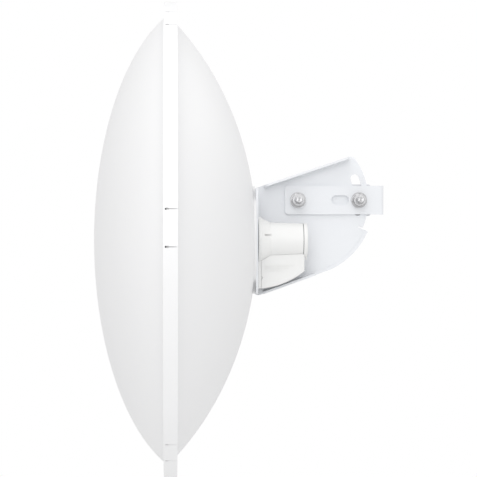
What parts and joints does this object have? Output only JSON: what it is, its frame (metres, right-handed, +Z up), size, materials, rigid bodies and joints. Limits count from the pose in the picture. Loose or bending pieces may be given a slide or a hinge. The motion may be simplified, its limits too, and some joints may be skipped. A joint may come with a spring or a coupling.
{
  "type": "pole-mounted dish antenna",
  "caption": "Round dish antenna under a domed radome, with a rear radio housing, a tilting sheet-steel bracket with a curved slot, and a two-jaw pole clamp with carriage bolts.",
  "frame": {"origin": "on the pole's axis, level with the two clamp bolts", "axes": "+Z up along the pole; the dish looks along -X at rest; the clamp bolts run along Y with their nuts on the -Y side"},
  "size_m": [0.4021, 0.65, 0.65],
  "materials": {
    "radome_plastic": "UV-stable moulded plastic, fine satin grain",
    "dish_paint": "spun aluminium, white powder coat",
    "bracket_paint": "steel sheet, cool white powder coat",
    "jaw_casting": "cast aluminium, thin white powder coat",
    "zinc_steel": "zinc-plated steel, fine satin",
    "housing_plastic": "moulded plastic, satin",
    "grey_rubber": "dark grey elastomer",
    "black_rubber": "black elastomer",
    "clear_plastic": "clear light pipe",
    "button_plastic": "dark grey plunger",
    "board": "green coated circuit board",
    "tin": "tinned sheet",
    "bare_aluminium": "bare aluminium",
    "socket_metal": "shielded socket shell",
    "feed_plastic": "white dielectric plastic"
  },
  "bodies": {
    "clamp": {"near_jaw": "jaw_casting", "clamp_bar": "bracket_paint", "flat_washers": "zinc_steel", "lock_washers": "zinc_steel"},
    "antenna": {"radome": "radome_plastic", "rim_seal": "black_rubber", "reflector": "dish_paint", "hub_plate": "bracket_paint", "bracket": "bracket_paint", "foot_screws": "zinc_steel", "foot_nuts": "zinc_steel", "radio_housing": "housing_plastic", "housing_seal": "grey_rubber", "end_cap": "housing_plastic", "cap_seal": "grey_rubber", "status_light": "clear_plastic", "main_board": "board", "shield_can": "tin", "heat_spreader": "bare_aluminium", "cable_socket": "socket_metal", "feed_tube": "feed_plastic", "feed_seal": "grey_rubber", "feed_screws": "zinc_steel", "waveguide": "bare_aluminium", "feed_cone": "feed_plastic", "sub_reflector": "bare_aluminium", "feed_cap": "feed_plastic"},
    "outer_jaw": {"far_jaw": "jaw_casting", "pivot_bolt": "zinc_steel", "slot_bolt": "zinc_steel"},
    "left_nut": {"pivot_nut": "zinc_steel"},
    "right_nut": {"slot_nut": "zinc_steel"},
    "cover": {"port_cover": "housing_plastic", "cable_grommet": "grey_rubber"},
    "button": {"reset_button": "button_plastic"}
  },
  "joints": [
    {"name": "elevation_tilt", "type": "hinge", "parent": "clamp", "child": "antenna", "pos_m": [-0.04275, -0.0345, 0], "axis": [0, 1, 0], "range_deg": [-10, 20]},
    {"name": "jaw_slide", "type": "slide", "parent": "clamp", "child": "outer_jaw", "axis": [0, 1, 0], "range_m": [-0.004, 0.016]},
    {"name": "pivot_nut_turn", "type": "hinge", "parent": "clamp", "child": "left_nut", "pos_m": [-0.04275, -0.0484, 0], "axis": [0, 1, 0], "range_deg": [-3845, 965]},
    {"name": "slot_nut_turn", "type": "hinge", "parent": "clamp", "child": "right_nut", "pos_m": [0.04275, -0.0484, 0], "axis": [0, 1, 0], "range_deg": [-3845, 965]},
    {"name": "port_cover_slide", "type": "slide", "parent": "antenna", "child": "cover", "axis": [0, 0, -1], "range_m": [0, 0.038]},
    {"name": "reset_press", "type": "slide", "parent": "antenna", "child": "button", "axis": [0, 0, 1], "range_m": [0, 0.0006], "stiffness_N_per_m": 1500, "springref_m": -0.0004}
  ],
  "couplings": [
    {"joint": "pivot_nut_turn", "follows": "jaw_slide", "rad_per_m": -4188.8},
    {"joint": "slot_nut_turn", "follows": "jaw_slide", "rad_per_m": -4188.8}
  ]
}
